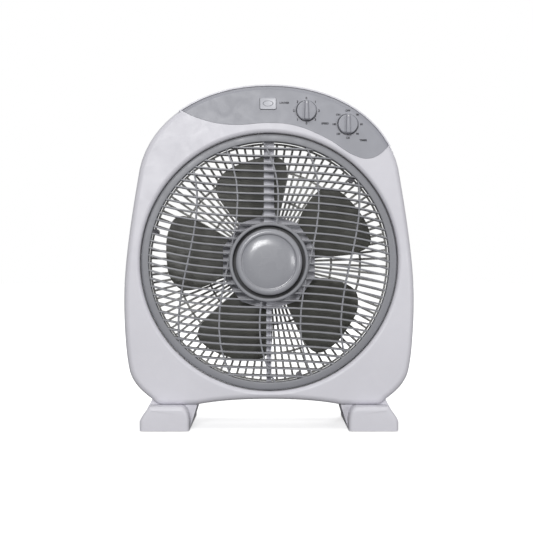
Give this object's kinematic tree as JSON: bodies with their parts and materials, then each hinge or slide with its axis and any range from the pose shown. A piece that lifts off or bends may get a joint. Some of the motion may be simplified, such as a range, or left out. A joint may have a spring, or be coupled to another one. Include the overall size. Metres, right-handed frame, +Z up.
{
  "type": "box fan",
  "caption": "Free-standing box fan with a rounded casing, a slowly turning louver grille, a bladed impeller, rotary speed and timer knobs, a louver button and two feet.",
  "frame": {"origin": "on the floor under the middle of the object's box, below the fan axis in the side view", "axes": "+Z up, the louver grille faces -Y, +X to the right seen from the front; the fan axis runs along Y"},
  "size_m": [0.42, 0.17, 0.499],
  "materials": {
    "casing_plastic": "fine satin moulded plastic, cool white",
    "panel_plastic": "satin mid grey plastic",
    "grille_plastic": "satin mid grey plastic",
    "cap_plastic": "semi gloss grey plastic",
    "blade_plastic": "satin dark warm grey plastic",
    "frame_plastic": "satin pale lilac grey plastic",
    "guard_plastic": "satin off white plastic",
    "black_plastic": "satin black moulded plastic",
    "rubber": "matt dark grey rubber",
    "steel": "zinc plated steel",
    "aluminium": "cast aluminium",
    "brass": "sintered bronze and brass, oiled",
    "copper": "varnished copper wire"
  },
  "bodies": {
    "casing": {"front_casing": "casing_plastic", "rear_casing": "casing_plastic", "control_panel": "panel_plastic", "rear_guard": "guard_plastic", "front_spider": "frame_plastic", "lead_clip": "black_plastic", "louver_motor": "steel", "motor_stator": "steel", "winding_front": "copper", "winding_rear": "copper", "motor_front_bell": "aluminium", "motor_rear_bell": "aluminium", "bush_front": "brass", "bush_rear": "brass", "speed_switch": "black_plastic", "timer_mechanism": "aluminium", "louver_switch": "black_plastic", "capacitor": "black_plastic", "cord_gland": "black_plastic", "motor_bolt_1": "steel", "motor_bolt_2": "steel", "motor_bolt_3": "steel", "motor_bolt_4": "steel", "foot_left": "casing_plastic", "foot_pad_left_front": "rubber", "foot_screw_left_front": "steel", "foot_pad_left_rear": "rubber", "foot_screw_left_rear": "steel", "foot_right": "casing_plastic", "foot_pad_right_front": "rubber", "foot_screw_right_front": "steel", "foot_pad_right_rear": "rubber", "foot_screw_right_rear": "steel", "casing_screw_1": "steel", "casing_screw_2": "steel", "casing_screw_3": "steel", "casing_screw_4": "steel", "casing_screw_5": "steel", "casing_screw_6": "steel", "spider_screw_1": "steel", "spider_screw_2": "steel", "guard_screw_1": "steel", "guard_screw_2": "steel", "guard_screw_3": "steel"},
    "impeller": {"fan_impeller": "blade_plastic", "spinner_nut": "black_plastic", "motor_shaft": "steel", "drive_pin": "steel", "motor_rotor": "aluminium"},
    "louver": {"louver_grille": "grille_plastic", "centre_cap": "cap_plastic", "louver_motor_shaft": "steel"},
    "speed_control": {"speed_knob": "panel_plastic", "speed_switch_shaft": "brass"},
    "timer_control": {"timer_knob": "panel_plastic", "timer_shaft": "brass"},
    "louver_push": {"louver_button": "panel_plastic"}
  },
  "joints": [
    {"name": "fan_spin", "type": "hinge", "parent": "casing", "child": "impeller", "pos_m": [0, -0.01, 0.2425], "axis": [0, 1, 0], "continuous": true},
    {"name": "louver_spin", "type": "hinge", "parent": "casing", "child": "louver", "pos_m": [0, -0.055, 0.2425], "axis": [0, 1, 0], "continuous": true},
    {"name": "speed_turn", "type": "hinge", "parent": "casing", "child": "speed_control", "pos_m": [0.054, -0.066, 0.4606], "axis": [0, 1, 0], "continuous": true},
    {"name": "timer_turn", "type": "hinge", "parent": "casing", "child": "timer_control", "pos_m": [0.1137, -0.066, 0.4411], "axis": [0, 1, 0], "range_deg": [-45, 270]},
    {"name": "louver_press", "type": "slide", "parent": "casing", "child": "louver_push", "axis": [0, 1, 0], "range_m": [0, 0.003], "stiffness_N_per_m": 250}
  ]
}
